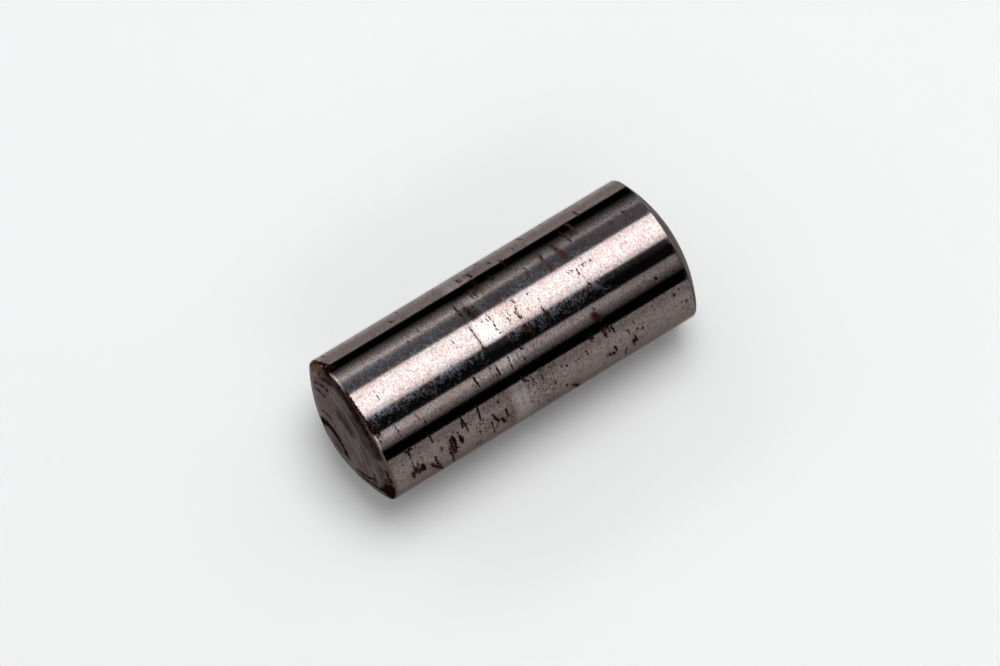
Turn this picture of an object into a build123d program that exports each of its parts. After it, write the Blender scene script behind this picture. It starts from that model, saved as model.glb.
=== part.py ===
from build123d import *

import math
import os

# A plain cylindrical locating pin of hardened steel, turned and ground from one bar, in millimetres.
# It lies along X with +Z up. The origin is on its axis, at the middle of its length.
# The end at -X carries the mark of the turning tool round its middle, and the end at +X is plain.

# Driving dimensions
PIN_DIAMETER = 12.0
PIN_LENGTH = 30.0
CROWN_RADIUS = 12.0
EDGE_BREAK = 0.12

# The shallow ring that the turning tool left round the middle of one crowned end
RING_DIAMETER = 2.9
RING_WIDTH = 0.8
RING_DEPTH = 0.07

SHANK_RADIUS = PIN_DIAMETER / 2
CROWN_CENTRE = PIN_LENGTH / 2 - CROWN_RADIUS


def crown_point(end, off_axis, sunk=0):
    """A point of the half profile on one crowned end, at a distance off the axis, sunk below the crown."""
    angle = math.asin(off_axis / CROWN_RADIUS)
    reach = CROWN_RADIUS - sunk
    return end * (CROWN_CENTRE + reach * math.cos(angle)), reach * math.sin(angle)


def crown_arc(end, start, stop, sunk=0):
    """The arc of the half profile from one distance off the axis to another, sunk at its middle."""
    middle = (start + stop) / 2
    return ThreePointArc(crown_point(end, start), crown_point(end, middle, sunk), crown_point(end, stop))


def half_profile():
    """Half of a lengthwise section, with its straight side on the axis and the edges of the shank broken."""
    ring_inner = (RING_DIAMETER - RING_WIDTH) / 2
    ring_outer = (RING_DIAMETER + RING_WIDTH) / 2
    outline = [
        crown_arc(-1, 0, ring_inner),
        crown_arc(-1, ring_inner, ring_outer, RING_DEPTH),
        crown_arc(-1, ring_outer, SHANK_RADIUS),
        Line(crown_point(-1, SHANK_RADIUS), crown_point(1, SHANK_RADIUS)),
        crown_arc(1, SHANK_RADIUS, 0),
        Line(crown_point(1, 0), crown_point(-1, 0)),
    ]
    section = make_face(outline)
    shank_corners = section.vertices().sort_by(Axis.Y)[-2:]
    return fillet(shank_corners, EDGE_BREAK)


# The pin is the half profile turned once about its axis
locating_pin = revolve(half_profile(), Axis.X)

os.makedirs("parts", exist_ok=True)
export_step(locating_pin, "parts/locating_pin.step")
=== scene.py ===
import math

import bpy
import numpy as np
from mathutils import Matrix, Vector


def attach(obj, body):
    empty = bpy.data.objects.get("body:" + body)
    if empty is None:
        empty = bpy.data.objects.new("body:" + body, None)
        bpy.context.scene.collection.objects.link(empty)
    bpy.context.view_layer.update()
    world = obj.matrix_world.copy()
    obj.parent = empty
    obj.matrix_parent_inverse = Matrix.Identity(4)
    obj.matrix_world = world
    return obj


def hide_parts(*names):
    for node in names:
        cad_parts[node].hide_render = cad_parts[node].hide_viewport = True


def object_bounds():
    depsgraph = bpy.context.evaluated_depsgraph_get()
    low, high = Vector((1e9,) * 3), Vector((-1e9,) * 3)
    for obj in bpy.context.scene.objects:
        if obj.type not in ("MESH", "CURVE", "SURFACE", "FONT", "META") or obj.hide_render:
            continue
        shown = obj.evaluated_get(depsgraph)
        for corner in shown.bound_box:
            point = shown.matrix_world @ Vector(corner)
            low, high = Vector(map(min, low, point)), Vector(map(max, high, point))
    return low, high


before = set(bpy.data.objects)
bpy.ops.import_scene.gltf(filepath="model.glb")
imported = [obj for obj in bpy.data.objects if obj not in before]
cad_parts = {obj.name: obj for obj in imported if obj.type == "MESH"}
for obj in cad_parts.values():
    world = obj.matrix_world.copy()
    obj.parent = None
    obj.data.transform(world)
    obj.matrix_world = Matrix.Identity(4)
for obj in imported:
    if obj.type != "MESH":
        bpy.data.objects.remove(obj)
cad_low, cad_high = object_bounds()

MM = 0.001

# The pin's sizes in metres. It lies along X, with its axis on the X axis.
SHANK_RADIUS = min(cad_high.y, cad_high.z, -cad_low.y, -cad_low.z)
HALF_LENGTH = min(cad_high.x, -cad_low.x)
CROWN_RADIUS = 12.0 * MM
EDGE_BREAK = 0.12 * MM
CROWN_CENTRE = HALF_LENGTH - CROWN_RADIUS
BREAK_CENTRE = CROWN_CENTRE + math.sqrt(
    (CROWN_RADIUS - EDGE_BREAK) ** 2 - (SHANK_RADIUS - EDGE_BREAK) ** 2
)
CROWN_EDGE_ANGLE = math.asin((SHANK_RADIUS - EDGE_BREAK) / (CROWN_RADIUS - EDGE_BREAK))
# The shank and its edges end here, on both sides
SHANK_REACH = BREAK_CENTRE + EDGE_BREAK

# Rows of the mesh along the profile, and columns round it
COLUMNS = 150
NEAR_CROWN_ROWS = 100
FAR_CROWN_ROWS = 50
BREAK_ROWS = 5
SHANK_ROWS = 440

# Grooves that the turning tool left on the crowns: distance off the axis, width and depth
NEAR_GROOVES = [
    (1.45 * MM, 0.80 * MM, 0.070 * MM),
    (2.25 * MM, 0.22 * MM, 0.010 * MM),
    (3.30 * MM, 0.30 * MM, 0.008 * MM),
    (4.05 * MM, 0.28 * MM, 0.012 * MM),
    (4.50 * MM, 0.26 * MM, 0.010 * MM),
    (5.05 * MM, 0.30 * MM, 0.012 * MM),
]
FAR_GROOVES = [
    (1.20 * MM, 0.50 * MM, 0.012 * MM),
    (2.60 * MM, 0.40 * MM, 0.008 * MM),
    (3.90 * MM, 0.40 * MM, 0.010 * MM),
    (4.90 * MM, 0.40 * MM, 0.010 * MM),
]


def groove_depth(off_axis, grooves):
    """How far a crown is cut at a distance off the axis."""
    depth = 0.0
    for middle, width, deepest in grooves:
        away = abs(off_axis - middle) / (width / 2)
        if away < 1:
            depth += deepest * (1 - away**2)
    return depth


def crown_profile(rows, grooves):
    """(place along the axis, distance off it) from a crown's middle to its rim, for the end at +X."""
    points = []
    for row in range(rows):
        angle = CROWN_EDGE_ANGLE * row / rows
        off_axis = CROWN_RADIUS * math.sin(angle)
        reach = CROWN_RADIUS - groove_depth(off_axis, grooves)
        points.append((CROWN_CENTRE + reach * math.cos(angle), reach * math.sin(angle)))
    for row in range(BREAK_ROWS + 1):
        angle = CROWN_EDGE_ANGLE + (math.pi / 2 - CROWN_EDGE_ANGLE) * row / BREAK_ROWS
        along = BREAK_CENTRE + EDGE_BREAK * math.cos(angle)
        points.append((along, SHANK_RADIUS - EDGE_BREAK + EDGE_BREAK * math.sin(angle)))
    return points


def pin_profile():
    """The half profile from the middle of the near crown, at -X, to the middle of the far one."""
    near = [(-along, off_axis) for along, off_axis in crown_profile(NEAR_CROWN_ROWS, NEAR_GROOVES)]
    far = crown_profile(FAR_CROWN_ROWS, FAR_GROOVES)
    start, stop = near[-1][0], far[-1][0]
    shank = [
        (start + (stop - start) * row / SHANK_ROWS, SHANK_RADIUS) for row in range(1, SHANK_ROWS)
    ]
    return near + shank + far[::-1]


def lathe(profile):
    """Vertices and faces of a closed profile turned about X. Angle 0 is up, and angles grow towards -Y."""
    rings = profile[1:-1]
    turn = np.arange(COLUMNS) * 2 * math.pi / COLUMNS
    vertices = [(profile[0][0], 0, 0)]
    for along, off_axis in rings:
        vertices += [(along, -off_axis * math.sin(a), off_axis * math.cos(a)) for a in turn]
    vertices.append((profile[-1][0], 0, 0))
    last = len(vertices) - 1
    faces = []
    for column in range(COLUMNS):
        beside = (column + 1) % COLUMNS
        faces.append((0, 1 + beside, 1 + column))
        for row in range(len(rings) - 1):
            here, there = 1 + row * COLUMNS, 1 + (row + 1) * COLUMNS
            faces.append((here + column, here + beside, there + beside, there + column))
        end = 1 + (len(rings) - 1) * COLUMNS
        faces.append((end + column, end + beside, last))
    return vertices, faces


# Rust strokes on the shank: from (mm along, degrees round) to (mm, degrees), half width in mm, strength and
# orange, from 0 for brown to 1 for orange and 2 for tan. Degrees start at MARKS_FROM and grow towards -Y.
MARKS_FROM = 3.2
LOWER_STROKES = [
    (-11.85, 53.5, -11.35, 54.5, 0.13, 0.9, 0.0), (-11.66, 54, -11.6, 61, 0.07, 0.9, 0.0),
    (-11.65, 62, -11.63, 70, 0.06, 0.5, 0.0), (-11.86, 76, -11.76, 83, 0.11, 0.8, 0.2),
    (-11.7, 72, -11.5, 79, 0.13, 0.8, 0.5), (-11.42, 72, -11.28, 82, 0.13, 0.75, 0.6),
    (-11.28, 68.5, -11.25, 71.5, 0.08, 0.6, 0.0), (-10.95, 74, -10.85, 80.5, 0.16, 1.0, 0.1),
    (-11.12, 76, -11.02, 80, 0.10, 0.8, 0.1), (-9.68, 52, -9.62, 59.5, 0.075, 0.95, 0.0),
    (-9.15, 68.5, -9.1, 71.5, 0.08, 0.75, 0.0), (-9.25, 72, -9.2, 75, 0.06, 0.55, 0.0),
    (-10.25, 79, -9.98, 86, 0.13, 0.8, 0.5), (-9.82, 73, -9.75, 84, 0.10, 0.85, 0.1),
    (-10.0, 84, -9.55, 92, 0.15, 0.95, 0.4), (-9.55, 92, -9.25, 100, 0.14, 0.9, 0.4),
    (-9.7, 83, -9.5, 89, 0.11, 0.7, 0.8), (-8.22, 63, -8.2, 67, 0.07, 0.7, 0.5),
    (-8.06, 65, -8.04, 78, 0.14, 1.0, 0.0), (-8.33, 67, -8.3, 79, 0.16, 0.9, 0.5),
    (-8.58, 74, -8.48, 79, 0.10, 0.7, 0.7), (-8.25, 78, -8.12, 83, 0.15, 1.0, 0.2),
    (-8.62, 79, -8.35, 83, 0.12, 0.85, 0.3), (-8.4, 83, -8.35, 99, 0.075, 0.95, 0.1),
    (-7.6, 64, -7.52, 71, 0.07, 0.8, 0.0), (-7.5, 69, -7.46, 75.5, 0.13, 1.0, 0.0),
    (-7.36, 71, -7.4, 74, 0.09, 0.8, 0.0), (-7.76, 78, -7.72, 80, 0.09, 0.6, 0.0),
    (-7.0, 52, -6.96, 57, 0.075, 0.95, 0.0), (-7.05, 57, -7.1, 63, 0.09, 0.95, 0.0),
    (-6.95, 57, -6.8, 62, 0.12, 0.75, 0.4), (-6.8, 63, -6.76, 70, 0.055, 0.75, 0.0),
    (-6.62, 60, -6.42, 65, 0.06, 0.5, 0.4), (-5.52, 52, -5.6, 65.5, 0.08, 0.95, 0.0),
    (-5.73, 67.5, -5.7, 69, 0.07, 0.6, 0.0), (-5.95, 74, -5.9, 80, 0.10, 0.45, 0.0),
    (-5.95, 88, -5.9, 94, 0.10, 0.45, 0.2), (-6.3, 87, -6.25, 92, 0.10, 0.5, 0.0),
    (-4.85, 72, -4.8, 80, 0.075, 0.8, 0.0), (-4.6, 67, -4.5, 71, 0.09, 0.8, 0.0),
    (-4.5, 71, -4.3, 76, 0.12, 0.95, 0.1), (-4.35, 77, -4.45, 82, 0.09, 0.8, 0.0),
    (-4.8, 81, -4.75, 88, 0.07, 0.75, 0.1), (-3.95, 76, -3.8, 82.5, 0.12, 0.95, 0.1),
    (-3.5, 69, -3.45, 78, 0.08, 0.85, 0.0), (-3.7, 79, -3.6, 83, 0.07, 0.7, 0.0),
    (-3.25, 78, -3.2, 82, 0.07, 0.65, 0.0), (-3.9, 58.6, -3.87, 59.6, 0.10, 0.9, 0.0),
    (-1.52, 52, -1.38, 56, 0.10, 0.9, 0.1), (-1.25, 54, -1.1, 58, 0.09, 0.8, 0.3),
    (-0.8, 57, -0.76, 60, 0.07, 0.7, 0.1), (-0.1, 54, 0.02, 62, 0.12, 0.5, 0.5),
    (2.03, 63, 2.08, 64, 0.07, 0.65, 0.0), (1.62, 61, 1.7, 62, 0.06, 0.6, 0.2),
    (3.85, 62, 3.93, 65, 0.08, 0.9, 0.0), (2.85, 63.6, 2.9, 64.4, 0.07, 0.6, 0.0),
    (3.1, 63, 3.12, 64.5, 0.06, 0.55, 0.0), (0.82, 71, 0.86, 74, 0.08, 0.55, 0.1),
    (1.72, 82.5, 1.75, 85, 0.10, 0.8, 0.0), (0.05, 89, 0.15, 93, 0.07, 0.7, 0.0),
    (4.45, 52, 4.56, 56, 0.10, 0.9, 0.0), (4.66, 52, 4.75, 54.5, 0.08, 0.85, 0.0),
    (5.56, 52, 5.74, 59, 0.11, 0.9, 0.1), (5.84, 52, 5.8, 58, 0.09, 0.7, 0.8),
    (6.05, 52, 6.1, 57, 0.08, 0.85, 0.0), (6.3, 53, 6.46, 59, 0.09, 0.95, 0.0),
    (5.4, 77.5, 5.62, 78.5, 0.13, 0.85, 0.1), (5.62, 77, 5.76, 80.5, 0.10, 0.85, 0.1),
    (5.9, 78, 6.05, 81, 0.11, 0.95, 0.0), (6.15, 73.5, 6.25, 78, 0.11, 0.85, 0.1),
    (7.9, 74, 7.96, 77.5, 0.09, 0.8, 0.0), (7.74, 78, 7.86, 80.5, 0.11, 0.95, 0.0),
    (7.95, 78, 8.1, 82, 0.09, 0.85, 0.0), (7.66, 80, 7.72, 84, 0.08, 0.75, 0.3),
    (7.75, 83.5, 7.85, 86, 0.09, 0.6, 0.9), (7.36, 63, 7.38, 64.2, 0.07, 0.7, 0.0),
    (7.48, 66, 7.55, 69, 0.07, 0.75, 0.0), (8.1, 61.5, 8.14, 63, 0.09, 0.7, 0.0),
    (8.22, 68, 8.3, 69.5, 0.08, 0.8, 0.0), (8.62, 71, 8.7, 72.5, 0.10, 0.85, 0.0),
    (7.05, 82, 7.12, 84, 0.10, 0.7, 0.0), (7.0, 86, 7.06, 94, 0.08, 0.75, 0.1),
    (8.5, 80, 8.55, 84, 0.07, 0.55, 0.1), (5.05, 86, 5.1, 88, 0.08, 0.6, 0.0),
    (10.48, 58, 10.52, 59.5, 0.08, 0.65, 0.0), (11.76, 57.5, 11.84, 59.5, 0.09, 0.75, 0.0),
    (12.28, 56.5, 12.32, 58, 0.07, 0.65, 0.0), (12.58, 71, 12.74, 72, 0.10, 0.7, 0.1),
    (12.1, 75.5, 12.14, 77, 0.08, 0.55, 0.0), (2.3, 90, 2.6, 95, 0.16, 0.75, 0.2),
    (2.6, 95, 2.8, 100, 0.22, 0.9, 0.1),
]
UPPER_STROKES = [
    (-11.65, 3.5, -11.64, 11.5, 0.04, 0.51, 0.0), (-4.7, 1, -4.66, 4, 0.05, 0.48, 0.2),
    (-4.7, 7, -4.66, 10.5, 0.05, 0.48, 0.1), (-7.36, 2.7, -7.34, 3.5, 0.06, 0.46, 0.3),
    (-7.26, 11.7, -7.22, 12.5, 0.08, 0.48, 0.3), (-3.03, 1, -3.0, 8, 0.08, 0.51, 0.5),
    (-3.03, 9, -3.0, 17, 0.08, 0.55, 0.5), (-3.05, 16.5, -2.97, 20.5, 0.14, 0.6, 0.9),
    (-1.36, 1.5, -1.34, 9, 0.08, 0.61, 0.2), (-1.4, 9, -1.34, 15, 0.08, 0.63, 0.1),
    (-1.5, -2.5, -1.44, 0, 0.07, 0.6, 0.1), (-2.0, 1, -1.97, 3, 0.08, 0.6, 0.0),
    (-1.64, 1.5, -1.6, 3.5, 0.08, 0.6, 0.0), (-2.02, 15.5, -1.98, 17.5, 0.07, 0.40, 0.0),
    (-0.56, 3.6, -0.54, 4.6, 0.06, 0.43, 0.4), (-0.3, 8, -0.2, 12, 0.09, 0.47, 0.4),
    (-0.06, 4, 0.0, 9, 0.06, 0.56, 0.3), (-0.4, 2.4, -0.38, 3.4, 0.08, 0.55, 0.4),
    (0.1, 8, 0.14, 10, 0.06, 0.40, 0.3), (-0.55, 10, -0.5, 12, 0.07, 0.40, 0.4),
    (0.74, -2, 0.86, 3, 0.11, 0.56, 0.5), (0.7, 4.5, 0.66, 8, 0.08, 0.46, 0.3),
    (0.5, 9, 0.62, 13.5, 0.15, 0.58, 0.2), (0.58, 14, 0.66, 20, 0.07, 0.34, 0.4),
    (0.42, 22, 0.68, 24.5, 0.20, 0.85, 1.0), (1.5, 21, 1.6, 24, 0.10, 0.55, 0.8),
    (1.98, 1.5, 2.04, 3, 0.08, 0.54, 0.1), (1.42, 10, 1.48, 12, 0.08, 0.54, 0.0),
    (2.55, 8, 2.32, 15, 0.05, 0.43, 0.2), (2.3, 15, 2.42, 21, 0.09, 0.8, 0.4),
    (5.4, 4.5, 5.86, 5, 0.13, 0.46, 0.3), (6.5, 4.8, 6.96, 4.8, 0.13, 0.50, 0.3),
    (7.26, 4.5, 7.5, 4.5, 0.13, 0.47, 0.3), (6.16, 4.5, 6.1, 8, 0.06, 0.54, 0.2),
    (6.14, 8, 5.9, 11, 0.06, 0.54, 0.2), (6.2, 8, 6.3, 12.5, 0.045, 0.54, 0.1),
    (6.32, 14, 6.26, 17, 0.05, 0.51, 0.2), (6.36, 17, 6.3, 22, 0.12, 0.55, 0.8),
    (6.9, -1, 6.94, 4.5, 0.05, 0.51, 0.2), (10.34, 5, 10.4, 6, 0.07, 0.48, 0.1),
    (9.1, 10, 9.14, 12, 0.05, 0.43, 0.2), (-13.06, 27, -12.92, 33.5, 0.13, 0.9, 0.3),
    (-13.2, 33, -13.12, 38, 0.05, 0.8, 0.0), (-11.64, 31, -11.6, 42, 0.05, 0.72, 0.0),
    (-9.95, 32, -9.76, 38, 0.06, 0.62, 0.4), (-9.52, 41.6, -9.48, 42.6, 0.07, 0.85, 0.1),
    (-4.8, 32, -4.7, 37.5, 0.09, 0.85, 0.1), (-4.66, 39.6, -4.64, 41, 0.07, 0.7, 0.0),
    (-3.36, 31, -3.3, 34, 0.06, 0.72, 0.2), (-3.15, 39, -3.1, 42.5, 0.06, 0.72, 0.1),
    (-2.9, 35, -2.86, 41, 0.07, 0.9, 0.0), (-1.75, 31, -1.8, 43, 0.05, 0.7, 0.0),
    (-0.6, 30.5, -0.56, 33, 0.07, 0.8, 0.0), (-0.68, 40.6, -0.6, 41.6, 0.11, 0.9, 0.0),
    (5.5, 39.5, 5.72, 44.5, 0.26, 0.8, 0.45), (5.4, 42, 5.95, 42.5, 0.13, 0.6, 0.6),
    (5.7, 33, 5.74, 38, 0.06, 0.6, 0.5), (10.92, 38.6, 11.06, 40, 0.09, 1.0, 0.0),
    (11.62, -16.4, 11.68, -15.6, 0.08, 0.9, 0.0), (-7.36, -17, -7.3, -14.5, 0.06, 0.72, 0.1),
    (-6.26, -20.5, -6.24, -17, 0.05, 0.66, 0.1), (-3.0, -20, -2.96, -10, 0.10, 0.62, 0.4),
    (-2.42, -13.5, -2.3, -5, 0.30, 0.44, 0.3), (-1.95, -12, -1.85, -6, 0.20, 0.36, 0.3),
    (-1.46, -28, -1.4, -17, 0.06, 0.7, 0.2), (-1.16, -20.5, -1.1, -16.5, 0.06, 0.7, 0.2),
    (-1.1, -22, -0.6, -27, 0.22, 0.62, 1.0), (-0.6, -38, -0.52, -28, 0.09, 0.6, 0.4),
    (4.66, -21, 4.5, -15, 0.10, 0.55, 0.5), (4.5, -15, 4.54, -5, 0.13, 0.62, 1.5),
    (4.76, -13, 4.7, -10, 0.08, 0.55, 1.4), (5.78, -22, 5.86, -17, 0.10, 0.55, 0.6),
    (5.9, -18, 6.05, -8, 0.20, 0.7, 1.35), (3.05, -19, 3.1, -15, 0.06, 0.6, 0.3),
    (2.95, -14, 2.9, -8, 0.10, 0.52, 1.4), (7.1, -22, 7.16, -16, 0.08, 0.68, 0.7),
    (7.0, -30, 7.08, -22, 0.09, 0.62, 0.5), (7.86, -35, 7.92, -22, 0.14, 0.72, 1.3),
    (7.7, -24, 7.3, -20, 0.08, 0.6, 0.7), (0.56, -29, 0.74, -25, 0.14, 0.68, 0.5),
    (2.1, -40, 2.16, -26, 0.12, 0.62, 0.4), (9.0, -44, 9.06, -37, 0.10, 0.62, 0.4),
    (-7.26, -46, -7.2, -42, 0.08, 0.7, 0.1), (-6.3, -58, -6.24, -53, 0.07, 0.55, 0.1),
    (-1.3, -48, -1.26, -42, 0.08, 0.75, 0.1), (-0.42, -46, -0.3, -38, 0.14, 0.6, 0.5),
    (1.4, -47, 1.46, -42, 0.07, 0.8, 0.1), (0.72, -58, 0.8, -52, 0.08, 0.6, 0.2),
    (3.5, -46, 3.54, -42, 0.08, 0.6, 0.0), (4.5, -58, 4.66, -50, 0.13, 0.55, 0.4),
    (8.9, -60, 9.0, -54, 0.08, 0.55, 0.2), (6.6, -62, 6.64, -56, 0.07, 0.5, 0.2),
    (-13.4, -48, -13.2, -38, 0.18, 0.9, 0.1), (-13.2, -38, -12.9, -32, 0.22, 0.7, 0.2),
    (-12.75, -57, -12.7, -53, 0.10, 0.7, 0.0), (-3.5, -62, -3.44, -57, 0.07, 0.5, 0.1),
    (-13.4, -38, -13.4, -28.5, 0.12, 1.0, 0.1), (-13.4, -6, -13.4, 28, 0.12, 0.8, 0.1),
    (-13.38, -64, -13.36, -40, 0.12, 0.7, 0.4),
]
# Brown stain and painted shade with soft edges: from (mm, degrees) to (mm, degrees), half width in mm and
# strength
SHANK_STAINS_AND_SHADE = [
    (-11.8, 78, -10.9, 78, 0.5, 0.5), (-10.1, 82, -9.6, 90, 0.45, 0.5), (-8.4, 68, -8.3, 84, 0.45, 0.4),
    (-4.6, 72, -3.3, 76, 0.7, 0.45), (-2.45, -15, -2.2, -5, 0.5, 0.85),
    (-0.9, -28, -0.6, -20, 0.35, 0.6), (-0.6, 0, -0.4, 18, 0.5, 0.2), (0.4, 0, 0.7, 16, 0.5, 0.2),
    (5.7, 38, 5.7, 45, 0.45, 0.5), (5.8, -22, 6.1, -8, 0.35, 0.6), (4.5, -22, 4.6, -5, 0.25, 0.5),
    (2.4, 88, 2.8, 100, 0.5, 0.6), (-0.6, 54, 0.1, 66, 0.6, 0.35), (7.8, 76, 8.0, 86, 0.4, 0.35),
    (5.6, 76, 6.1, 82, 0.45, 0.35), (7.4, -30, 7.8, -20, 0.3, 0.4), (-3.05, -20, -3.0, 20, 0.12, 0.4),
    # The band along the whole shank at 57.5 degrees is painted shade, a darker reflection along that side
    (-13.2, 20, -13.0, 36, 0.3, 0.5), (-13, 57.5, 13, 57.5, 0.5, 0.5),
    (-13.4, 45, -13.4, 128, 0.10, 0.95), (13.32, 28, 13.32, 80, 0.12, 0.8),
    (-2.6, -27.5, -1.6, -27.5, 0.4, 1.0), (-3.12, 58, -3.08, 96, 0.28, 0.45),
    (4.2, -11, 7.6, -11, 0.55, 0.4), (-0.6, -9.5, 1.6, -9.5, 0.4, 0.45),
]
# How the surface changes along the shank, in mm, and round it, in degrees: haze, specks, polish, and a
# painted sheen along the upper +Y side
HAZE_SHARES = [
    (-13.3, 0.75), (-6.0, 0.75), (-4.5, 0.68), (-3.2, 0.68), (-2.7, 0.1), (-1.6, 0.1), (-1.0, 0.65),
    (1.0, 0.75), (2.0, 0.8), (7.0, 0.75), (8.5, 0.4), (13.0, 0.45),
]
HAZE_ROUND_SHARES = [
    (-28, 0.0), (-18, 0.7), (-12, 1.0), (-7, 1.0), (-2, 0.5), (12, 0.5), (17, 0.75), (20, 1.1),
    (24, 1.1), (28, 0.85), (31, 0.4), (40, 0.0),
]
FAR_END_HAZE_SHARES = [(7.5, 0.0), (9.5, 0.62), (13.3, 0.62)]
FAR_END_ROUND_SHARES = [(-30, 0.0), (-24, 1.0), (-14, 1.0), (-10, 0.0)]
FAR_RIM_HAZE_SHARES = [(12.9, 0.0), (13.25, 0.85)]
FAR_RIM_ROUND_SHARES = [(-10, 1.0), (-7, 0.0), (19, 0.0), (21, 1.0)]
HAZE_PATCHES = [
    (HAZE_SHARES, HAZE_ROUND_SHARES),
    (FAR_END_HAZE_SHARES, FAR_END_ROUND_SHARES),
    (FAR_RIM_HAZE_SHARES, FAR_RIM_ROUND_SHARES),
]
SPECK_SHARES = [
    (-13.3, 0.5), (-2.82, 0.7), (-2.74, 0.0), (-1.6, 0.0), (-1.3, 0.8), (0.9, 0.8), (1.6, 0.5),
    (6.0, 0.5), (13.3, 0.6),
]
SPECK_ROUND_SHARES = [
    (-45, 1.3), (-30, 0.9), (-3, 0.9), (2, 0.7), (10, 0.7), (16, 1.0), (45, 1.2), (55, 1.7), (70, 1.5),
    (90, 1.3),
]
POLISH_SHARES = [
    (-2.76, 0.0), (-2.70, 0.20), (-2.5, 0.17), (-2.2, 0.24), (-2.0, 0.19), (-1.85, 0.12), (-1.65, 0.26),
    (-1.5, 0.2), (-1.35, 0.04), (-1.2, 0.18), (-1.05, 0.07), (-0.9, 0.16), (-0.7, 0.02), (-0.5, 0.10),
    (-0.3, 0.0),
]
# Painted sheen: brighter steel along the upper +Y side, where the limb shows a brighter reflection
LIMB_SHEEN_ROUND_SHARES = [(-75, 0.7), (-66, 1.0), (-58, 1.0), (-49, 0.1), (-44, 0.0), (262, 0.0), (285, 0.7)]
# Painted highlights on the near rim: brighter metal where glints fall, partly worn bare metal, in the form
# of the stains
PAINTED_RIM_GLINTS = [
    (-13.37, -27, -13.37, -17, 0.06, 1.0), (-13.37, -12.5, -13.37, -9, 0.05, 1.0),
    (-13.37, 33, -13.37, 43, 0.045, 0.25),
]
# Rust and stain on the near crown, in the forms of the shank's, with mm off the axis in place of mm along.
# The dark marks along the centre groove, 1.4 to 1.8 mm off the axis, are painted shade in the recess,
# partly grime.
NEAR_CROWN_STROKES = [
    (5.05, 104, 5.5, 86, 0.34, 1.2, 0.15), (5.5, 86, 5.75, 108, 0.42, 1.2, 0.1),
    (5.6, 64, 5.55, 84, 0.09, 0.8, 0.0), (5.9, 82, 5.9, 118, 0.14, 0.9, 0.0),
    (5.78, 72, 5.7, 88, 0.08, 0.7, 0.0), (5.3, 74, 5.35, 88, 0.08, 0.55, 0.0),
    (3.0, 119, 3.4, 114, 0.16, 0.6, 0.1), (3.4, 114, 4.4, 105, 0.24, 0.9, 0.1),
    (4.35, 76, 4.25, 96, 0.09, 0.62, 0.0), (5.62, -66, 5.62, -47, 0.28, 1.0, 2.0),
    (2.8, 101, 3.6, 95, 0.20, 0.75, 0.0), (3.6, 95, 4.35, 87, 0.20, 0.65, 0.0),
    (5.85, -74, 5.9, -52, 0.20, 0.7, 1.0), (5.5, -54, 5.5, -45, 0.26, 0.34, 1.0),
    (5.3, -48, 5.1, -42, 0.15, 0.5, 0.5), (6.0, -38, 5.85, -29, 0.24, 1.0, 0.0),
    (5.12, -40, 5.28, -23, 0.12, 0.66, 0.1), (4.52, -66, 4.58, -45, 0.12, 0.5, 0.7),
    (4.58, -45, 4.65, -26, 0.12, 0.66, 0.1), (4.08, -62, 3.98, -33, 0.11, 0.6, 0.2),
    (2.55, -54, 2.58, -21, 0.08, 0.5, 0.0), (2.58, -21, 2.43, 0, 0.07, 0.42, 0.0),
    # The three strokes that follow the centre groove, 1.4 to 1.8 mm off the axis, are painted shade in the
    # recess, partly grime
    (1.83, -90, 1.45, -38, 0.34, 1.0, 0.1), (1.45, -38, 1.4, 27, 0.32, 0.9, 0.0),
    (1.4, 27, 1.62, 88, 0.28, 0.75, 0.0), (5.8, -13, 5.55, 3, 0.20, 0.46, 0.1),
    (5.55, 3, 5.5, 17, 0.30, 0.62, 0.1), (5.5, 17, 5.55, 32, 0.26, 0.6, 0.0),
    (5.55, 32, 5.6, 50, 0.18, 0.42, 0.0),
]
NEAR_CROWN_STAINS_AND_SHADE = [
    (5.6, -40, 5.6, 20, 0.6, 0.7), (5.3, 10, 5.4, 50, 0.6, 0.7), (5.2, 60, 5.2, 110, 0.5, 0.5),
    (5.4, -75, 5.5, -45, 0.6, 0.25), (0.0, 0, 0.7, 100, 0.8, 0.8), (3.0, 105, 4.4, 95, 0.4, 0.5),
    # The stain at 1.45 mm off the axis follows the centre groove: painted shade in the recess
    (1.45, -70, 1.45, 80, 0.35, 0.5), (4.4, 100, 5.2, 130, 0.5, 0.6), (3.9, -4, 3.9, 24, 0.45, 0.6),
    (4.6, 30, 4.4, 60, 0.3, 0.4),
]


# Rust strokes placed at random where the photograph doesn't show the pin: places and half widths in mm,
# turns and lengths in degrees. On the shank a place is along the axis, and on the crown it is off the axis.
HIDDEN_SHANK_RUST = {
    "seed": 7, "count": 90, "places": (-12.8, 12.8), "turns": (112, 282), "lean": 0.06,
    "lengths": (2, 11), "half_widths": (0.05, 0.14), "strengths": (0.5, 1.0),
}
HIDDEN_CROWN_RUST = {
    "seed": 3, "count": 26, "places": (3.5, 6.0), "turns": (75, 300), "lean": 0.08,
    "lengths": (4, 22), "half_widths": (0.07, 0.18), "strengths": (0.4, 0.9),
}
MOST_ORANGE_SHARE = 0.5

# Keeps a mark of no length from dividing by zero
TINY = 1e-9


def shares_at(places, shares):
    """Shares between the places that a table gives."""
    return np.interp(places, *zip(*shares))


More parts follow.
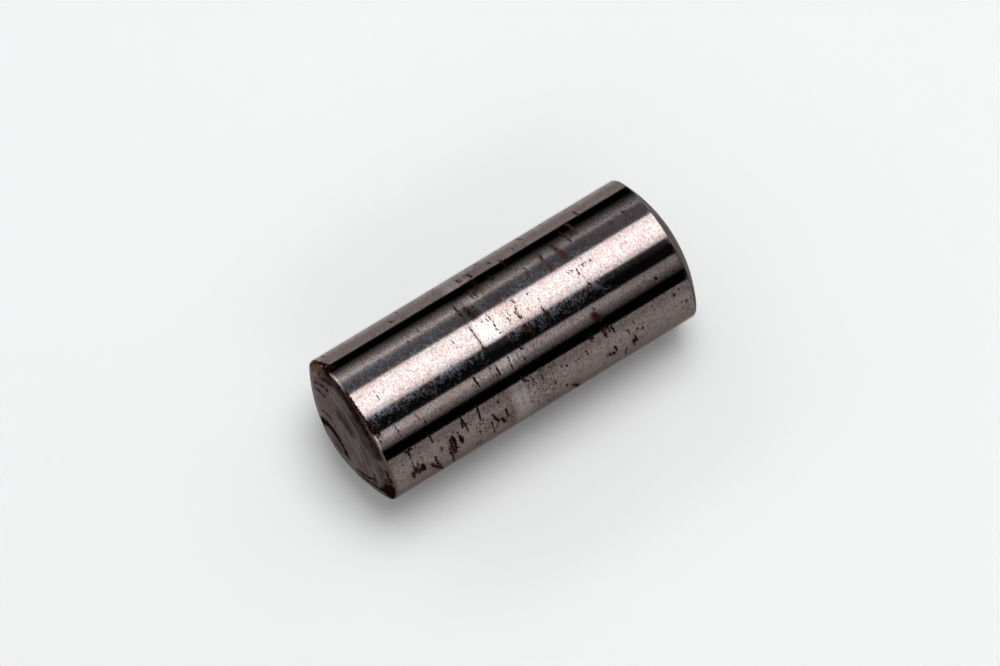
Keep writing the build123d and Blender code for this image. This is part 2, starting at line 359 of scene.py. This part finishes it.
def paint(along, turn, off_axis, strokes):
    """The strength and the orange of strokes at points: mm along, degrees round and mm off the axis."""
    cover = np.zeros_like(along)
    orange = np.zeros_like(along)
    per_degree = np.radians(off_axis)
    for along_0, turn_0, along_1, turn_1, half_width, strength, warmth in strokes:
        across = (turn - turn_0 - MARKS_FROM) * per_degree
        length_along = along_1 - along_0
        length_round = (turn_1 - turn_0) * per_degree
        reach = (along - along_0) * length_along + across * length_round
        share = np.clip(reach / (length_along**2 + length_round**2 + TINY), 0, 1)
        gap = np.hypot(along - along_0 - share * length_along, across - share * length_round)
        mark = strength * np.exp(-((gap / half_width) ** 2))
        orange = np.where(mark > cover, warmth, orange)
        cover = np.maximum(cover, mark)
    return cover, orange


def paint_plain(along, turn, off_axis, marks):
    """The strength of marks that have no orange."""
    cover, _ = paint(along, turn, off_axis, [mark + (0,) for mark in marks])
    return cover


def random_strokes(seed, count, places, turns, lean, lengths, half_widths, strengths):
    """Rust strokes at random places. They run round the pin and lean a little."""
    rng = np.random.default_rng(seed)
    strokes = []
    for _ in range(count):
        place = rng.uniform(*places)
        turn = rng.uniform(*turns)
        end_place = place + rng.normal(0, lean)
        end_turn = turn + rng.uniform(*lengths)
        half_width = rng.uniform(*half_widths)
        strength = rng.uniform(*strengths)
        orange = rng.uniform(0, MOST_ORANGE_SHARE) ** 2
        strokes.append((place, turn, end_place, end_turn, half_width, strength, orange))
    return strokes


NOISE_ROUGHNESS = 0.6


class Graph:
    """Adds nodes to a material. An input is a number, a colour or another node's output."""

    def __init__(self, tree):
        self.tree = tree

    def add(self, kind, inputs, **settings):
        node = self.tree.nodes.new(kind)
        for key, value in settings.items():
            setattr(node, key, value)
        for key, value in inputs.items():
            if isinstance(value, bpy.types.NodeSocket):
                self.tree.links.new(value, node.inputs[key])
            else:
                node.inputs[key].default_value = value
        return node

    def maths(self, operation, *values):
        return self.add("ShaderNodeMath", dict(enumerate(values)), operation=operation).outputs[0]

    def scale(self, vector, factor):
        return self.add("ShaderNodeVectorMath", {0: vector, "Scale": factor}, operation="SCALE").outputs[0]

    def step(self, value, low, high):
        """0 below low, 1 above high and smooth between."""
        inputs = {"Value": value, "From Min": low, "From Max": high}
        return self.add("ShaderNodeMapRange", inputs, interpolation_type="SMOOTHSTEP").outputs[0]

    def mix(self, share, colour_a, colour_b):
        inputs = {0: share, 6: colour_a, 7: colour_b}
        return self.add("ShaderNodeMix", inputs, data_type="RGBA").outputs[2]

    def mix_number(self, share, a, b):
        return self.add("ShaderNodeMix", {0: share, 2: a, 3: b}, data_type="FLOAT").outputs[0]

    def painted(self, name):
        """A value that is painted on the mesh's points."""
        return self.add("ShaderNodeAttribute", {}, attribute_name=name).outputs["Fac"]

    def noise(self, place, per_mm, detail, offset):
        """Noise from 0 to 1 with as many features per millimetre along X, Y and Z as per_mm says."""
        inputs = {0: place, 1: per_mm, 2: (offset, offset, offset)}
        scaled = self.add("ShaderNodeVectorMath", inputs, operation="MULTIPLY_ADD").outputs[0]
        inputs = {"Vector": scaled, "Scale": 1.0, "Detail": detail, "Roughness": NOISE_ROUGHNESS}
        return self.add("ShaderNodeTexNoise", inputs, noise_dimensions="3D").outputs[0]

    def swing(self, noise, span):
        """Noise from 0 to 1 as a swing about zero, span wide."""
        return self.maths("MULTIPLY_ADD", noise, span, -span / 2)

    def bump(self, height, strength, depth):
        inputs = {"Height": height, "Strength": strength, "Distance": depth}
        return self.add("ShaderNodeBump", inputs).outputs[0]


def new_material(name):
    """A material, its graph, its shader and a place in millimetres in the pin's own frame."""
    material = bpy.data.materials.new(name)
    material.use_nodes = True
    graph = Graph(material.node_tree)
    place = graph.add("ShaderNodeTexCoord", {}).outputs["Object"]
    return material, graph, material.node_tree.nodes["Principled BSDF"], graph.scale(place, 1 / MM)


def dress_shader(graph, shader, colour, metallic, roughness, normal, edge_tint):
    """Joins the looks to a shader. The edge tint is the same all over, so it is set on the socket."""
    links = graph.tree.links
    links.new(colour, shader.inputs["Base Color"])
    links.new(metallic, shader.inputs["Metallic"])
    links.new(roughness, shader.inputs["Roughness"])
    links.new(normal, shader.inputs["Normal"])
    shader.inputs["Specular IOR Level"].default_value = 0.0
    shader.inputs["Specular Tint"].default_value = edge_tint


# Rust: its colours, from the dark crust to fresh orange and pale tan
RUST_CRUST = (0.0035, 0.0010, 0.0007, 1)
RUST_BROWN = (0.011, 0.0030, 0.0017, 1)
RUST_ORANGE = (0.043, 0.0140, 0.0058, 1)
RUST_TAN = (0.140, 0.084, 0.052, 1)
RUST_ROUGHNESS = 0.85
# Its noise, as features per mm along X, Y and Z, detail and offset, and how wide the noise swings
RUST_STREAKS = ((11.0, 3.0, 3.0), 5.0, 3.0)
RUST_GRAINS = ((9.0, 6.5, 6.5), 2.0, 51.0)
RUST_CRUMBS = ((6.0, 4.0, 4.0), 3.0, 21.0)
STREAK_SWING = 1.2
GRAIN_SWING = 2.4
# Where the ragged edge, the film, the core and the crumbs begin and are full
RAGGED_STEP = (0.02, 0.30)
FILM_STEP = (0.08, 0.60)
CORE_STEP = (0.45, 0.95)
CRUMB_STEP = (0.40, 0.62)
# The orange from which rust turns tan, and how much of the orange and the tan the crumbs leave
TAN_STEP = (1.0, 2.0)
ORANGE_CRUMB_SHARE = 0.55
TAN_CRUMB_SHARE = 0.4


def add_rust(graph, place, colour, metallic, roughness, dull_step):
    """Lays painted rust over a metal: a thin glossy film at its edges, a dull crust in its middle."""
    painted = graph.painted("rust")
    streaks = graph.swing(graph.noise(place, *RUST_STREAKS), STREAK_SWING)
    grains = graph.swing(graph.noise(place, *RUST_GRAINS), GRAIN_SWING)
    ragged = graph.maths("MULTIPLY", graph.maths("ADD", streaks, grains), graph.step(painted, *RAGGED_STEP))
    depth = graph.maths("ADD", painted, ragged)
    film = graph.step(depth, *FILM_STEP)
    dull = graph.step(depth, *dull_step)
    core = graph.step(depth, *CORE_STEP)
    crumbs = graph.step(graph.noise(place, *RUST_CRUMBS), *CRUMB_STEP)
    crust = graph.mix(graph.maths("MULTIPLY", crumbs, core), RUST_BROWN, RUST_CRUST)
    orange = graph.painted("orange")
    fresh = graph.maths("MULTIPLY", orange, graph.mix_number(crumbs, 1.0, ORANGE_CRUMB_SHARE))
    tan_left = graph.mix_number(crumbs, 1.0, TAN_CRUMB_SHARE)
    pale = graph.maths("MULTIPLY", graph.step(orange, *TAN_STEP), tan_left)
    bright = graph.mix(pale, RUST_ORANGE, RUST_TAN)
    colour = graph.mix(film, colour, graph.mix(fresh, crust, bright))
    metallic = graph.mix_number(dull, metallic, 0.0)
    roughness = graph.mix_number(dull, roughness, RUST_ROUGHNESS)
    return colour, metallic, roughness, dull


# The shank: its colours
GREY_STEEL = (0.203, 0.192, 0.190, 1)
PINK_STEEL = (0.188, 0.131, 0.123, 1)
# Polished steel on the worn ring, also used for the painted sheen and the painted glints
POLISH_AND_SHEEN_STEEL = (0.510, 0.478, 0.474, 1)
HAZE_BLUE = (0.130, 0.162, 0.216, 1)
FLECK_PINK = (0.130, 0.094, 0.088, 1)
DOT_BROWN = (0.070, 0.044, 0.036, 1)
STAIN_AND_SHADE_BROWN = (0.050, 0.030, 0.025, 1)
SHANK_EDGE_TINT = (0.54, 0.50, 0.49, 1)
CLEAN_ROUGHNESS = 0.08
HAZY_ROUGHNESS = 0.24
# Its noise, as features per mm along X, Y and Z, detail and offset
FINE_BLOOM = ((10.0, 7.0, 7.0), 3.0, 0.0)
WIDE_BLOOM = ((1.6, 2.4, 2.4), 3.0, 41.0)
POLISH_AND_SHEEN_STREAKS = ((4.0, 0.3, 0.3), 3.0, 61.0)
HAZE_GRAIN = ((5.0, 3.4, 3.4), 5.0, 15.0)
HAZE_BLOTCHES = ((1.1, 1.5, 1.5), 3.0, 71.0)
STEEL_GRAIN = ((9.0, 4.5, 4.5), 4.0, 7.0)
FLECKS = ((8.0, 6.0, 6.0), 1.0, 11.0)
DOTS = ((6.0, 3.6, 3.6), 3.0, 31.0)
BLOTCH_SWING = 0.5
# Gain and base of the streaks in the polish and the painted sheen, and of the grain's shade
STREAK_GAIN = (3.0, -0.5)
GRAIN_GAIN = (1.8, 0.14)
# Where the bloom, haze, flecks, dots and dull rust begin and are full
BLOOM_STEP = (0.30, 0.70)
HAZE_STEP = (0.77, 1.03)
FLECK_STEP = (0.62, 0.70)
DOT_STEP = (0.68, 0.78)
SHANK_DULL_STEP = (0.40, 0.75)
# How much of each the surface takes
WIDE_BLOOM_SHARE = 0.7
PAINTED_HAZE_SHARE = 0.5
HAZE_COLOUR_SHARE = 0.75
STAIN_AND_SHADE_SHARE = 0.9
FLECK_PAINT_SHARE = 0.07
DOT_PAINT_SHARE = 0.14
GRAIN_HEIGHT_SHARE = 0.05
SHANK_BUMP_SHARE = 0.3
SHANK_BUMP_DEPTH = 0.006 * MM


def ground_steel():
    """The shank: ground steel with fine grain, a pink bloom, polish and a painted sheen, dull haze, specks,
    brown stain with painted shade, and rust.
    """
    material, graph, shader, place = new_material("ground_steel")
    fine = graph.step(graph.noise(place, *FINE_BLOOM), *BLOOM_STEP)
    wide = graph.step(graph.noise(place, *WIDE_BLOOM), *BLOOM_STEP)
    colour = graph.mix(graph.mix_number(WIDE_BLOOM_SHARE, fine, wide), GREY_STEEL, PINK_STEEL)
    streaks = graph.maths("MULTIPLY_ADD", graph.noise(place, *POLISH_AND_SHEEN_STREAKS), *STREAK_GAIN)
    # Polish on the worn ring, and painted sheen and painted glints elsewhere
    polish_and_sheen = graph.maths("MULTIPLY", graph.painted("polish_and_sheen"), streaks)
    colour = graph.mix(polish_and_sheen, colour, POLISH_AND_SHEEN_STEEL)
    haze = graph.noise(place, *HAZE_GRAIN)
    haze = graph.maths("MULTIPLY_ADD", graph.painted("haze"), PAINTED_HAZE_SHARE, haze)
    blotches = graph.swing(graph.noise(place, *HAZE_BLOTCHES), BLOTCH_SWING)
    haze = graph.step(graph.maths("ADD", haze, blotches), *HAZE_STEP)
    colour = graph.mix(graph.maths("MULTIPLY", haze, HAZE_COLOUR_SHARE), colour, HAZE_BLUE)
    roughness = graph.mix_number(haze, CLEAN_ROUGHNESS, HAZY_ROUGHNESS)
    grain = graph.noise(place, *STEEL_GRAIN)
    colour = graph.scale(colour, graph.maths("MULTIPLY_ADD", grain, *GRAIN_GAIN))
    # Brown stain, and painted shade where the stain table lays it
    stain_and_shade = graph.maths("MULTIPLY", graph.painted("stain_and_shade"), STAIN_AND_SHADE_SHARE)
    colour = graph.mix(stain_and_shade, colour, STAIN_AND_SHADE_BROWN)
    dense = graph.painted("specks")
    flecks = graph.maths("MULTIPLY_ADD", dense, FLECK_PAINT_SHARE, graph.noise(place, *FLECKS))
    colour = graph.mix(graph.step(flecks, *FLECK_STEP), colour, FLECK_PINK)
    dots = graph.maths("MULTIPLY_ADD", dense, DOT_PAINT_SHARE, graph.noise(place, *DOTS))
    colour = graph.mix(graph.step(dots, *DOT_STEP), colour, DOT_BROWN)
    colour, metallic, roughness, dull = add_rust(graph, place, colour, 1.0, roughness, SHANK_DULL_STEP)
    height = graph.maths("MULTIPLY", grain, GRAIN_HEIGHT_SHARE)
    height = graph.maths("MULTIPLY_ADD", dull, -1.0, height)
    normal = graph.bump(height, SHANK_BUMP_SHARE, SHANK_BUMP_DEPTH)
    dress_shader(graph, shader, colour, metallic, roughness, normal, SHANK_EDGE_TINT)
    return material


# The crowns: their colours, darker than the shank's partly for the turned finish and partly as painted
# shade
CROWN_GREY = (0.118, 0.096, 0.097, 1)
CROWN_DARK = (0.043, 0.032, 0.031, 1)
CROWN_STAIN_AND_SHADE_BROWN = (0.016, 0.008, 0.006, 1)
CROWN_EDGE_TINT = (0.62, 0.56, 0.54, 1)
CROWN_ROUGHNESS = 0.38
STAIN_AND_SHADE_METAL_SHARE = 0.6
# Their turned rings per mm off the axis and the rings' detail, and their noise in the shank's form
RINGS_PER_MM = 3.0
RING_DETAIL = 4.0
CROWN_ARCS = ((2.6, 2.2, 2.2), 5.0, 5.0)
CROWN_STAIN = ((1.5, 1.5, 1.5), 4.0, 9.0)
CROWN_STAIN_SWING = 0.8
# Keeps the arcs from pinching near the axis, in mm
ARC_CORE = 0.8
RING_GAIN = (0.8, 0.6)
ARC_STEP = (0.36, 0.76)
CROWN_STAIN_AND_SHADE_STEP = (0.1, 0.9)
CROWN_DULL_STEP = (0.10, 0.40)
RING_HEIGHT_SHARE = 0.6
CROWN_BUMP_SHARE = 0.15
CROWN_BUMP_DEPTH = 0.01 * MM


def turned_steel():
    """The crowns: turned steel, darker partly as painted shade, with fine rings, brown stain, painted shade
    along the near groove, and rust.
    """
    material, graph, shader, place = new_material("turned_steel")
    flat = graph.add("ShaderNodeVectorMath", {0: place, 1: (0, 1, 1)}, operation="MULTIPLY").outputs[0]
    off_axis = graph.add("ShaderNodeVectorMath", {0: flat}, operation="LENGTH").outputs["Value"]
    inputs = {"W": off_axis, "Scale": RINGS_PER_MM, "Detail": RING_DETAIL}
    rings = graph.add("ShaderNodeTexNoise", inputs, noise_dimensions="1D").outputs[0]
    inward = graph.maths("DIVIDE", 1.0, graph.maths("ADD", off_axis, ARC_CORE))
    heading = graph.scale(flat, inward)
    polar = graph.add("ShaderNodeCombineXYZ", {0: off_axis}).outputs[0]
    polar = graph.add("ShaderNodeVectorMath", {0: polar, 1: heading}, operation="ADD").outputs[0]
    arcs = graph.step(graph.noise(polar, *CROWN_ARCS), *ARC_STEP)
    colour = graph.mix(arcs, CROWN_GREY, CROWN_DARK)
    colour = graph.scale(colour, graph.maths("MULTIPLY_ADD", rings, *RING_GAIN))
    stain_and_shade = graph.swing(graph.noise(place, *CROWN_STAIN), CROWN_STAIN_SWING)
    stain_and_shade = graph.step(graph.maths("ADD", graph.painted("stain_and_shade"), stain_and_shade), *CROWN_STAIN_AND_SHADE_STEP)
    colour = graph.mix(stain_and_shade, colour, CROWN_STAIN_AND_SHADE_BROWN)
    metallic = graph.mix_number(stain_and_shade, 1.0, STAIN_AND_SHADE_METAL_SHARE)
    looks = add_rust(graph, place, colour, metallic, CROWN_ROUGHNESS, CROWN_DULL_STEP)
    colour, metallic, roughness, dull = looks
    height = graph.maths("MULTIPLY_ADD", rings, RING_HEIGHT_SHARE, graph.maths("MULTIPLY", dull, -1.0))
    normal = graph.bump(height, CROWN_BUMP_SHARE, CROWN_BUMP_DEPTH)
    dress_shader(graph, shader, colour, metallic, roughness, normal, CROWN_EDGE_TINT)
    return material


# How deep the rust has eaten into the shank
RUST_DEPTH = 0.005 * MM
# The even stain all over the far crown
FAR_CROWN_STAIN_SHARE = 0.42
# Turns below the first are counted on by a full turn, in degrees
COUNT_ON_BELOW = -75
FULL_TURN = 360


def paint_pin(mesh):
    """Paints the marks, the wear, the painted shade and the painted sheen on the mesh's points, and sinks
    the points that rust has eaten.
    """
    places = np.array([vertex.co for vertex in mesh.vertices])
    off_axis = np.hypot(places[:, 1], places[:, 2])
    turn = np.degrees(np.arctan2(-places[:, 1], places[:, 2]))
    turn_on = np.where(turn < COUNT_ON_BELOW, turn + FULL_TURN, turn)
    marks_turn = turn_on - MARKS_FROM
    along_mm = places[:, 0] / MM
    off_axis_mm = off_axis / MM
    on_shank = np.abs(places[:, 0]) < SHANK_REACH
    on_near = ~on_shank & (places[:, 0] < 0)
    shank_strokes = LOWER_STROKES + UPPER_STROKES + random_strokes(**HIDDEN_SHANK_RUST)
    rust, orange = paint(along_mm, turn_on, off_axis_mm, shank_strokes)
    # Brown stain and painted shade on the shank
    stain_and_shade = paint_plain(along_mm, turn_on, off_axis_mm, SHANK_STAINS_AND_SHADE)
    # Painted highlights on the near rim
    painted_glints = paint_plain(along_mm, turn_on, off_axis_mm, PAINTED_RIM_GLINTS)
    # Rust and stain on the near crown, with painted shade along its centre groove
    near_rust_and_groove_shade, near_orange = paint(off_axis_mm, turn, off_axis_mm, NEAR_CROWN_STROKES)
    near_stain_and_groove_shade = paint_plain(off_axis_mm, turn, off_axis_mm, NEAR_CROWN_STAINS_AND_SHADE)
    far_rust, far_orange = paint(off_axis_mm, turn_on, off_axis_mm, random_strokes(**HIDDEN_CROWN_RUST))
    painted = {
        # Rust, with painted shade along the near crown's centre groove
        "rust": np.where(on_shank, rust, np.where(on_near, near_rust_and_groove_shade, far_rust)),
        "orange": np.where(on_shank, orange, np.where(on_near, near_orange, far_orange)),
        "stain_and_shade": np.where(on_shank, stain_and_shade, np.where(on_near, near_stain_and_groove_shade, FAR_CROWN_STAIN_SHARE)),
        "haze": np.maximum.reduce(
            [shares_at(along_mm, along) * shares_at(marks_turn, around) for along, around in HAZE_PATCHES]
        ),
        "specks": shares_at(along_mm, SPECK_SHARES) * shares_at(marks_turn, SPECK_ROUND_SHARES),
        "polish_and_sheen": np.maximum.reduce(
            [shares_at(along_mm, POLISH_SHARES), shares_at(marks_turn, LIMB_SHEEN_ROUND_SHARES), painted_glints]
        ),
    }
    for name, values in painted.items():
        layer = mesh.attributes.new(name, "FLOAT", "POINT")
        layer.data.foreach_set("value", values.astype(np.float32))
    eaten = np.where(on_shank, 1 - RUST_DEPTH * rust / SHANK_RADIUS, 1)
    places[:, 1:] *= eaten[:, None]
    mesh.vertices.foreach_set("co", places.astype(np.float32).ravel())
    mesh.update()


def make_pin():
    """The pin's mesh, which stands for the solid and takes its own two materials."""
    vertices, faces = lathe(pin_profile())
    mesh = bpy.data.meshes.new("ground_pin")
    mesh.from_pydata(vertices, [], faces)
    mesh.shade_smooth()
    mesh.materials.append(ground_steel())
    mesh.materials.append(turned_steel())
    for face in mesh.polygons:
        face.material_index = int(abs(face.center.x) > SHANK_REACH)
    paint_pin(mesh)
    pin = bpy.data.objects.new("ground_pin", mesh)
    bpy.context.scene.collection.objects.link(pin)
    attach(pin, "root")
    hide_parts("locating_pin")


# The studio: a pale floor under the pin and a tent over it, lit in long strips along X
FLOOR_SIZE = 6.0
FLOOR_COLOUR = (0.92, 0.92, 0.92, 1)
FLOOR_ROUGHNESS = 0.9
FLOOR_FADE = (0.15, 0.45)
WORLD_COLOUR = (0.92, 0.92, 0.92, 1)
WORLD_LIGHT = 0.60
TENT_RADIUS = 0.5
TENT_LENGTH = 0.7
TENT_SIDES = 128
# Light from the tent by the angle from overhead, in degrees, positive towards the camera: angle, level
# and tint
DAYLIGHT = (1.0, 1.0, 1.0)
SOFTBOX_WHITE = (0.985, 1.0, 1.0)
SHADE_BLUE = (0.92, 0.97, 1.06)
TENT_LIGHT = [
    (-73, 0.0, DAYLIGHT), (-66, 0.20, DAYLIGHT), (-58, 0.66, DAYLIGHT), (-53, 1.25, DAYLIGHT),
    (-50.5, 1.55, DAYLIGHT), (-48.5, 1.25, DAYLIGHT), (-46, 0.75, DAYLIGHT), (-43.5, 0.47, SHADE_BLUE),
    (-38, 0.36, SHADE_BLUE), (-32, 0.30, SHADE_BLUE), (-24.8, 0.30, SHADE_BLUE),
    (-23.2, 1.1, SOFTBOX_WHITE), (-21.3, 3.4, SOFTBOX_WHITE), (-19, 4.4, SOFTBOX_WHITE),
    (-14, 4.95, SOFTBOX_WHITE), (-6, 5.4, SOFTBOX_WHITE), (4, 5.4, SOFTBOX_WHITE),
    (10, 4.7, SOFTBOX_WHITE), (16, 3.3, SOFTBOX_WHITE), (18.5, 2.4, SOFTBOX_WHITE),
    (21, 0.10, SHADE_BLUE), (32, 0.01, SHADE_BLUE), (45, 0.01, SHADE_BLUE), (47, 1.08, DAYLIGHT),
    (51, 1.25, DAYLIGHT), (56, 1.33, DAYLIGHT), (60, 0.78, DAYLIGHT), (66, 0.40, DAYLIGHT),
    (73, 0.0, DAYLIGHT),
]
# The strips at the sides grow dimmer along X between these places
STRIP_FADE = (0.03, 0.15)
STRIP_SHARES = (1.9, 0.55)
STRIP_ANGLES = (math.radians(34), math.radians(47))
SOFTBOX_ANGLE = math.radians(22)
SOFTBOX_SPAN = (-0.06, 0.24)
HALF_TURN = 180


def seen_share(graph):
    """1 for rays from the camera, metal and glass, and 0 for the rays that light a surface."""
    path = graph.add("ShaderNodeLightPath", {}).outputs
    seen = graph.maths("MAXIMUM", path["Is Camera Ray"], path["Is Glossy Ray"])
    return graph.maths("MAXIMUM", seen, path["Is Transmission Ray"])


def floor_material():
    """Pale paper. Far from the pin it shows its plain colour, as the light there is dim."""
    material = bpy.data.materials.new("floor")
    material.use_nodes = True
    tree = material.node_tree
    paper = tree.nodes["Principled BSDF"]
    paper.inputs["Base Color"].default_value = FLOOR_COLOUR
    paper.inputs["Roughness"].default_value = FLOOR_ROUGHNESS
    paper.inputs["Specular IOR Level"].default_value = 0.0
    graph = Graph(tree)
    place = graph.add("ShaderNodeTexCoord", {}).outputs["Object"]
    away = graph.add("ShaderNodeVectorMath", {0: place}, operation="LENGTH").outputs["Value"]
    far = graph.maths("MULTIPLY", graph.step(away, *FLOOR_FADE), seen_share(graph))
    plain = graph.add("ShaderNodeEmission", {"Color": FLOOR_COLOUR}).outputs[0]
    mixed = graph.add("ShaderNodeMixShader", {0: far, 1: paper.outputs[0], 2: plain}).outputs[0]
    tree.links.new(mixed, tree.nodes["Material Output"].inputs["Surface"])
    return material


def make_floor():
    """The floor, which the pin lies on."""
    bpy.ops.mesh.primitive_plane_add(size=FLOOR_SIZE, location=(0, 0, -SHANK_RADIUS))
    floor = bpy.context.object
    floor.name = "floor"
    floor.data.materials.append(floor_material())


def tent_material():
    """Light in strips along X. The softbox overhead is shorter than the tent."""
    material = bpy.data.materials.new("tent")
    material.use_nodes = True
    tree = material.node_tree
    tree.nodes.remove(tree.nodes["Principled BSDF"])
    graph = Graph(tree)
    place = graph.add("ShaderNodeTexCoord", {}).outputs["Object"]
    parts = graph.add("ShaderNodeSeparateXYZ", {0: place}).outputs
    towards_camera = graph.maths("MULTIPLY", parts["Y"], -1.0)
    turn = graph.maths("ARCTAN2", towards_camera, parts["Z"])
    share = graph.maths("MULTIPLY_ADD", turn, 1 / math.pi, 0.5)
    ramp = graph.add("ShaderNodeValToRGB", {0: share})
    stops = ramp.color_ramp.elements
    spots = [angle / HALF_TURN + 0.5 for angle, _, _ in TENT_LIGHT]
    stops[0].position = spots[0]
    stops[1].position = spots[-1]
    for position in spots[1:-1]:
        stops.new(position)
    top = max(level for _, level, _ in TENT_LIGHT)
    for stop, (_, level, tint) in zip(stops, TENT_LIGHT):
        stop.color = tuple(level / top * part for part in tint) + (1,)
    before = graph.maths("LESS_THAN", parts["X"], SOFTBOX_SPAN[0])
    beyond = graph.maths("GREATER_THAN", parts["X"], SOFTBOX_SPAN[1])
    overhead = graph.maths("LESS_THAN", graph.maths("ABSOLUTE", turn), SOFTBOX_ANGLE)
    off = graph.maths("MULTIPLY", graph.maths("ADD", before, beyond), overhead)
    strength = graph.maths("MULTIPLY_ADD", off, -top, top)
    span = {"Value": parts["X"], "From Min": STRIP_FADE[0], "From Max": STRIP_FADE[1]}
    levels = {"To Min": STRIP_SHARES[0], "To Max": STRIP_SHARES[1]}
    fade = graph.add("ShaderNodeMapRange", span | levels).outputs[0]
    in_strip = graph.step(graph.maths("ABSOLUTE", turn), *STRIP_ANGLES)
    strength = graph.maths("MULTIPLY", strength, graph.mix_number(in_strip, 1.0, fade))
    light = graph.add("ShaderNodeEmission", {"Color": ramp.outputs[0], "Strength": strength})
    tree.links.new(light.outputs[0], tree.nodes["Material Output"].inputs["Surface"])
    return material


def make_tent():
    """Half a tube over the pin, open at both ends, that the camera doesn't see."""
    vertices = []
    for side in range(TENT_SIDES + 1):
        angle = math.pi * (side / TENT_SIDES - 0.5)
        across, up = -TENT_RADIUS * math.sin(angle), TENT_RADIUS * math.cos(angle)
        vertices += [(end * TENT_LENGTH / 2, across, up) for end in (-1, 1)]
    faces = [(2 * s, 2 * s + 1, 2 * s + 3, 2 * s + 2) for s in range(TENT_SIDES)]
    mesh = bpy.data.meshes.new("tent")
    mesh.from_pydata(vertices, [], faces)
    mesh.materials.append(tent_material())
    tent = bpy.data.objects.new("tent", mesh)
    tent.visible_camera = False
    bpy.context.scene.collection.objects.link(tent)


def make_world():
    """A pale world: dim as a light, and at its plain colour where it is seen."""
    world = bpy.data.worlds.new("world")
    world.use_nodes = True
    tree = world.node_tree
    background = tree.nodes["Background"]
    background.inputs["Color"].default_value = WORLD_COLOUR
    graph = Graph(tree)
    strength = graph.mix_number(seen_share(graph), WORLD_LIGHT, 1.0)
    tree.links.new(strength, background.inputs["Strength"])
    bpy.context.scene.world = world


# The camera, from the pin's outline in the photograph of 1000 by 666 pixels
FRAME_WIDTH_PX = 1000
FRAME_HEIGHT_PX = 666
PIN_CENTRE_PX = (503.37, 338.89)
FOCAL_LENGTH_PX = 4500
CAMERA_DISTANCE = 336.5 * MM
AXIS_SLOPE = math.radians(31.22)
AXIS_AWAY = math.radians(12.88)
LEAN = math.radians(23.4)
SENSOR_WIDTH_MM = 36.0
CLIP_START = 1 * MM


def make_camera():
    """The camera leans from overhead towards -Y. The pin slopes up to the right, away from it."""
    across = math.cos(AXIS_AWAY)
    back = Vector((-math.sin(AXIS_AWAY), -across * math.sin(LEAN), across * math.cos(LEAN)))
    axis = Vector((1, 0, 0)) - back * back.x
    axis.normalize()
    beside = back.cross(axis)
    right = axis * math.cos(AXIS_SLOPE) - beside * math.sin(AXIS_SLOPE)
    up = axis * math.sin(AXIS_SLOPE) + beside * math.cos(AXIS_SLOPE)
    metres_per_px = CAMERA_DISTANCE / FOCAL_LENGTH_PX
    shift_right = (PIN_CENTRE_PX[0] - FRAME_WIDTH_PX / 2) * metres_per_px
    shift_down = (PIN_CENTRE_PX[1] - FRAME_HEIGHT_PX / 2) * metres_per_px
    place = back * CAMERA_DISTANCE - right * shift_right + up * shift_down
    data = bpy.data.cameras.new("camera")
    data.sensor_width = SENSOR_WIDTH_MM
    data.lens = FOCAL_LENGTH_PX * SENSOR_WIDTH_MM / FRAME_WIDTH_PX
    data.clip_start = CLIP_START
    camera = bpy.data.objects.new("camera", data)
    turned = Matrix((right, up, back)).transposed().to_4x4()
    camera.matrix_world = Matrix.Translation(place) @ turned
    bpy.context.scene.collection.objects.link(camera)
    bpy.context.scene.camera = camera


make_pin()
make_floor()
make_tent()
make_world()
make_camera()
bpy.context.scene.view_settings.view_transform = "Standard"
